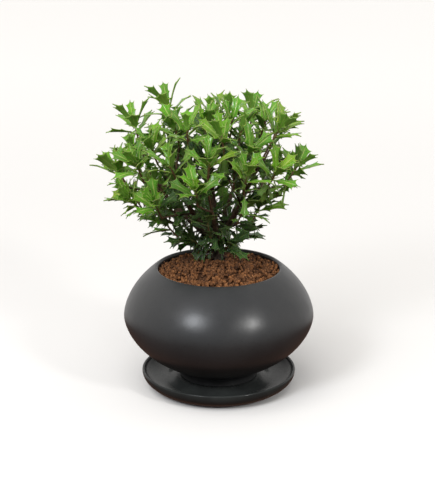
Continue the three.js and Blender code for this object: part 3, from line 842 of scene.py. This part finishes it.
def tube(path, radii, sides=7):
    """Points and faces of a closed tube along a path."""
    path = np.asarray(path, dtype=float)
    ways = np.gradient(path, axis=0)
    ways /= np.linalg.norm(ways, axis=1)[:, None]
    guide = np.array([0.0, 0.0, 1.0]) if abs(ways[0][2]) < 0.8 else np.array([1.0, 0.0, 0.0])
    angles = np.linspace(0, 2 * math.pi, sides, endpoint=False)
    rings = []
    for centre, way, radius in zip(path, ways, radii):
        side = np.cross(guide, way)
        side /= np.linalg.norm(side)
        other = np.cross(way, side)
        rings.append(centre + radius * (np.outer(np.cos(angles), side) + np.outer(np.sin(angles), other)))
    faces = []
    for i in range(len(path) - 1):
        for k in range(sides):
            j = (k + 1) % sides
            faces.append([i * sides + k, i * sides + j, (i + 1) * sides + j, (i + 1) * sides + k])
    last = (len(path) - 1) * sides
    faces.append(list(reversed(range(sides))))
    faces.append([last + k for k in range(sides)])
    return np.concatenate(rings), faces


FEW_SHARE = 0.8  # the share of leaves that have few spines
STALK_RADII = np.array([0.62, 0.5, 0.45, 0.45, 0.35])
STALK_SAG = [0, -0.1, -0.15, -0.1, 0.0]
STEM_ROOT = 0.9  # how far a stem reaches back into the twig
BUD_RADII = [0.6, 0.85, 0.95, 0.8, 0.45, 0.06]


class Foliage:
    """Leaves and stems gathered into one mesh with two materials: 0 for blades and 1 for stems."""

    def __init__(self, shapes, rng):
        self.shapes, self.rng = shapes, rng
        self.points, self.faces, self.marks, self.tones, self.material = [], [], [], [], []
        self.count = 0

    def put(self, points, faces, marks, tone, material):
        self.faces.extend([[self.count + i for i in face] for face in faces])
        self.material.extend([material] * len(faces))
        self.points.append(points)
        self.marks.append(marks)
        self.tones.append(np.tile(tone, (len(points), 1)))
        self.count += len(points)

    def leaf(self, size, rotation, place, tone):
        """A blade and its stalk. Rotation's columns are the leaf's width, length and upward directions."""
        shape = self.shapes[0 if self.rng.uniform() < FEW_SHARE else 1]
        local = curled(shape.points, self.rng)
        self.put(local * size @ rotation.T + place, shape.faces, shape.marks, tone, 0)
        reach = (BLADE_START + 0.03) * LEAF_LENGTH
        stalk = np.outer(np.linspace(0, 1, 5), [0, reach, 0])
        stalk[:, 2] = STALK_SAG
        ring, faces = tube(stalk * size @ rotation.T + place, STALK_RADII * max(size, 0.6), 6)
        marks = np.zeros((len(ring), 3))
        marks[:, 1] = np.repeat(np.linspace(0.3, 1.0, 5), 6)
        self.put(ring, faces, marks, tone, 1)

    def stem(self, start, end, tone):
        """This year's stem, knobbly where leaves join it, and the pointed bud at its end."""
        way = (end - start) / np.linalg.norm(end - start)
        steps = np.linspace(0, 1, 13)
        path = start - way * STEM_ROOT + np.outer(steps, (end - start) + way * STEM_ROOT)
        side = np.cross(way, [0.3, 0.5, 0.8])
        side /= np.linalg.norm(side)
        path += np.outer(np.sin(steps * math.pi) * self.rng.uniform(-0.5, 0.5), side)
        radii = 0.85 - 0.2 * steps + 0.1 * np.sin(steps * 31 + self.rng.uniform(0, 6))
        ring, faces = tube(path, radii, 8)
        marks = np.zeros((len(ring), 3))
        marks[:, 1] = np.repeat(0.55 * steps, 8)
        self.put(ring, faces, marks, tone, 1)
        bud = end + np.outer(np.linspace(-0.3, 2.6, 6), way)
        ring, faces = tube(bud, BUD_RADII, 7)
        marks = np.zeros((len(ring), 3))
        marks[:, 1] = 0.85
        self.put(ring, faces, marks, tone, 1)

    def finish(self, name, looks, nodes=()):
        piece = make_piece(name, np.concatenate(self.points), self.faces, looks, nodes)
        piece.data.polygons.foreach_set("material_index", self.material)
        add_tones(piece, "leaf_place", np.concatenate(self.marks))
        add_tones(piece, "leaf_tone", np.concatenate(self.tones))


def leaf_basis(along, face_up, roll):
    """A leaf's rotation from the way it points, the way its face should look, and a roll in radians."""
    along = along / np.linalg.norm(along)
    across = np.cross(along, face_up)
    if np.linalg.norm(across) < 1e-3:
        across = np.cross(along, [1.0, 0.0, 0.0])
    across /= np.linalg.norm(across)
    face = np.cross(across, along)
    cosine, sine = math.cos(roll), math.sin(roll)
    return np.stack([across * cosine + face * sine, along, face * cosine - across * sine], axis=1)


def tone_at(place, rng, young=0.0):
    """How dark, yellow and bluish a leaf is. The outside of the crown is fresh, above all at the upper
    right. The middle, the foot and a hollow at the front left are darkened with painted shade, besides a
    little random darkness of the leaf's own."""
    def depth(centre, half, full, none):
        return 1 - smooth_step(full, none, np.linalg.norm((place - centre) / half))

    inner_shade = depth(CROWN_CENTRE, CROWN_HALF, 0.4, 0.78)
    hollow = depth(SHADED_HOLLOW_CENTRE, SHADED_HOLLOW_HALF, 0.7, 1.15)
    foot = depth(FOOT_CENTRE, FOOT_HALF, 0.9, 1.4)
    # dark is painted shade from the crown's middle, the hollow and the foot, plus a little random darkness
    # of each leaf's own. Yellow is held back where it is shaded.
    dark = np.clip(0.88 * max(inner_shade, hollow, foot) + rng.normal(0.05, 0.09), 0, 0.95)
    blue = np.clip(rng.normal(0.05, 0.2) + 0.4 * foot, 0, 0.7)
    fresh = smooth_step(20, 70, place[0]) * smooth_step(185, 225, place[2])
    yellow = rng.uniform(0.3, 0.65) if rng.uniform() < 0.1 + 0.3 * fresh else rng.uniform(0, 0.2)
    return np.array([dark, min(0.75, yellow + 0.35 * young) * (1 - dark), blue])


# Small leaves that each stem gets besides the CAD's: their place along it, their lean away from it in
# degrees, their size, and how young they are.
EXTRA_LEAVES = [
    (0.98, 14, 0.45, 0.7), (1.0, 22, 0.56, 0.6), (0.94, 26, 0.72, 0.3), (0.9, 40, 0.66, 0.1),
    (0.66, 52, 0.6, 0.0), (0.48, 62, 0.55, 0.0), (0.3, 68, 0.52, 0.0), (0.12, 78, 0.48, 0.0),
]
LEAF_TURN = 2.4  # radians round the stem from one leaf to the next
LEAN_SPREAD = 8


def add_shoot(node, number, shapes, looks):
    """A shoot's stem with the CAD's leaves, small lower leaves and a tuft of young ones at its end."""
    rng = np.random.default_rng(100 + number)
    leaves, start, end = read_shoot(node)
    foliage = Foliage(shapes, rng)
    for size, rotation, place in leaves:
        foliage.leaf(size, rotation, place, tone_at(place + rotation[:, 1] * 14, rng))
    way = (end - start) / np.linalg.norm(end - start)
    side = np.cross(way, [0.0, 0.0, 1.0])
    side /= np.linalg.norm(side)
    other = np.cross(way, side)
    phase = rng.uniform(0, 2 * math.pi)
    for i, (share, lean, size, young) in enumerate(EXTRA_LEAVES):
        turn = phase + LEAF_TURN * i
        lean = math.radians(lean + rng.uniform(-LEAN_SPREAD, LEAN_SPREAD))
        out = side * math.cos(turn) + other * math.sin(turn)
        along = way * math.cos(lean) + out * math.sin(lean)
        place = start + (end - start) * share
        basis = leaf_basis(along, way, rng.normal(0, 0.25))
        foliage.leaf(size * rng.uniform(0.85, 1.15), basis, place, tone_at(place + along * 10, rng, young))
    foliage.stem(start, end, tone_at(end, rng))
    foliage.finish(f"leafy_{node}", looks, [node])
    return len(leaves)


MOST_TRIES = 6000
# How many leaves grow on the wood, how far apart, and how much they rise.
INSIDE_LEAVES = (240, 5.0, 0.25)
LOW_LEAVES = (34, 3.0, -0.35)
INSIDE_REACH = 0.86  # as a share of the crown
INSIDE_FROM = 130
LOW_FROM, LOW_TO = 111, 134


def spread_out(points, count, spacing, rng):
    """Numbers of points picked at random that keep a distance from each other."""
    chosen = []
    for i in rng.permutation(len(points))[:MOST_TRIES]:
        if not chosen or np.linalg.norm(points[chosen] - points[i], axis=1).min() > spacing:
            chosen.append(i)
        if len(chosen) == count:
            break
    return chosen


def add_inner_leaves(points, normals, shapes, looks):
    """The small leaves that grow straight on the wood, darkened with painted shade: inside the crown, and
    round the trunk, where they hang."""
    rng = np.random.default_rng(77)
    foliage = Foliage(shapes, rng)
    out = np.linalg.norm((points - CROWN_CENTRE) / CROWN_HALF, axis=1)
    height = points[:, 2]
    inside = np.flatnonzero((out < INSIDE_REACH) & (height > INSIDE_FROM))
    low = np.flatnonzero((height > LOW_FROM) & (height < LOW_TO))
    for group, (count, spacing, rise) in ((inside, INSIDE_LEAVES), (low, LOW_LEAVES)):
        for k in spread_out(points[group], count, spacing, rng):
            i = group[k]
            from_middle = points[i] - CROWN_CENTRE + [0, 0, 40]
            along = normals[i] + 0.5 * from_middle / np.linalg.norm(from_middle) + rng.normal(0, 0.3, 3)
            along[2] += rise
            basis = leaf_basis(along, np.array([0.0, 0.0, 1.0]), rng.normal(0, 0.6))
            size = rng.uniform(0.42, 0.78)
            foliage.leaf(size, basis, points[i] - normals[i] * 0.4, tone_at(points[i], rng))
    foliage.finish("inner_leaves", looks)


# ---------------- stage, lights and camera

FLOOR_HALF = 9.0  # in metres, like the next two
FLOOR_BELOW = 0.0002
CAMERA_PLACE = (-0.00105, -1.122, 0.476)
CAMERA_PITCH = 17.53  # in degrees
CAMERA_LENS = 102.25  # in millimetres, like the sensor
CAMERA_SENSOR = 36.0


def add_floor(look):
    """A plain floor that the camera sees but that neither lights the object nor shows in its glazes."""
    mesh = bpy.data.meshes.new("floor")
    corners = [(x * FLOOR_HALF, y * FLOOR_HALF, 0) for x, y in ((-1, -1), (1, -1), (1, 1), (-1, 1))]
    mesh.from_pydata(corners, [], [[0, 1, 2, 3]])
    mesh.materials.append(look)
    floor = bpy.data.objects.new("floor", mesh)
    bpy.context.scene.collection.objects.link(floor)
    floor.location.z = -FLOOR_BELOW
    floor.visible_diffuse = False
    floor.visible_glossy = False


def add_softbox(name, target, azimuth, elevation, distance, size, watts, colour):
    """A rectangular lamp that looks at a target in millimetres. Its azimuth and elevation are in degrees,
    its distance and size in metres."""
    light = bpy.data.lights.new(name, "AREA")
    light.shape = "RECTANGLE"
    light.size, light.size_y = size
    light.energy = watts
    light.color = colour
    lamp = bpy.data.objects.new(name, light)
    bpy.context.scene.collection.objects.link(lamp)
    a, e = math.radians(azimuth), math.radians(elevation)
    way = np.array([math.cos(a) * math.cos(e), math.sin(a) * math.cos(e), math.sin(e)])
    lamp.location = np.array(target) * MM + way * distance
    lamp.rotation_euler = (math.pi / 2 - e, 0, a + math.pi / 2)


def add_sky_light():
    """A very soft lamp, high on the left in front. It lights the leaves but isn't seen in the glazes."""
    light = bpy.data.lights.new("skylight", "SUN")
    light.angle = math.radians(50)
    light.energy = 2.1
    light.color = (1.0, 0.985, 0.95)
    lamp = bpy.data.objects.new("skylight", light)
    bpy.context.scene.collection.objects.link(lamp)
    lamp.rotation_euler = (math.radians(30), 0, math.radians(-28))
    lamp.visible_glossy = False


def add_world():
    """A pale room, darker behind the camera, and a dark brown table top that ends at the wall behind the
    object."""
    world = bpy.data.worlds.new("room")
    bpy.context.scene.world = world
    world.use_nodes = True
    nodes, links = world.node_tree.nodes, world.node_tree.links
    split = nodes.new("ShaderNodeSeparateXYZ")
    links.new(nodes.new("ShaderNodeTexCoord").outputs["Generated"], split.inputs[0])

    def blend(value, low, high, first, second):
        share = nodes.new("ShaderNodeMapRange")
        share.interpolation_type = "SMOOTHSTEP"
        links.new(value, share.inputs[0])
        share.inputs[1].default_value = low
        share.inputs[2].default_value = high
        colour = nodes.new("ShaderNodeMix")
        colour.data_type = "RGBA"
        links.new(share.outputs[0], colour.inputs[0])
        for socket, value in ((colour.inputs[6], first), (colour.inputs[7], second)):
            if isinstance(value, tuple):
                socket.default_value = (*value, 1)
            else:
                links.new(value, socket)
        return colour.outputs[2]

    behind = nodes.new("ShaderNodeMath")
    behind.operation = "MAXIMUM"
    links.new(split.outputs["Y"], behind.inputs[0])
    behind.inputs[1].default_value = 0.0
    above_table = nodes.new("ShaderNodeMath")
    above_table.operation = "MULTIPLY_ADD"
    links.new(behind.outputs[0], above_table.inputs[0])
    above_table.inputs[1].default_value = 0.31
    links.new(split.outputs["Z"], above_table.inputs[2])
    walls = blend(split.outputs["Y"], -0.75, 0.35, (0.32, 0.32, 0.33), (0.8, 0.785, 0.77))
    room = blend(above_table.outputs[0], -0.15, 0.05, (0.13, 0.07, 0.052), walls)
    links.new(room, nodes["Background"].inputs[0])
    nodes["Background"].inputs[1].default_value = 1.0


def add_lights():
    add_softbox(
        "window_left", target=(-20, -71, 83), azimuth=-124.5, elevation=36.5, distance=1.3,
        size=(0.3, 0.26), watts=8, colour=(0.92, 0.95, 1.0),
    )
    add_softbox(
        "window_right", target=(26, -70, 80), azimuth=-46, elevation=30, distance=1.3,
        size=(0.18, 0.2), watts=6, colour=(1.0, 0.995, 0.98),
    )
    add_sky_light()
    add_world()


def add_camera():
    """A camera that looks along Y and a little down."""
    data = bpy.data.cameras.new("camera")
    data.sensor_width = CAMERA_SENSOR
    data.lens = CAMERA_LENS
    camera = bpy.data.objects.new("camera", data)
    bpy.context.scene.collection.objects.link(camera)
    camera.location = CAMERA_PLACE
    camera.rotation_euler = (math.radians(90 - CAMERA_PITCH), 0, 0)
    bpy.context.scene.camera = camera


# ---------------- the whole object

def build():
    add_camera()
    add_floor(floor_look())
    add_lights()
    bpy.context.scene.view_settings.view_transform = "Standard"
    add_pot(clay_look())
    add_saucer(glaze_look())
    add_soil(soil_look())
    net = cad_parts["drain_mesh"]
    net.data.materials.clear()
    net.data.materials.append(net_look())
    points, normals = add_wood(bark_look())
    looks = [leaf_look(), stem_look()]
    shapes = [LeafShape(FEW_SPINES), LeafShape(MORE_SPINES)]
    small_shapes = [LeafShape(spines, 5, PLAIN_COLUMNS) for spines in (FEW_SPINES, MORE_SPINES)]
    shoots = sorted(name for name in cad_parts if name.startswith("shoot_"))
    found = [add_shoot(node, number, shapes, looks) for number, node in enumerate(shoots)]
    add_inner_leaves(points, normals, small_shapes, looks)
    print("leaves found in each CAD shoot:", found)


build()
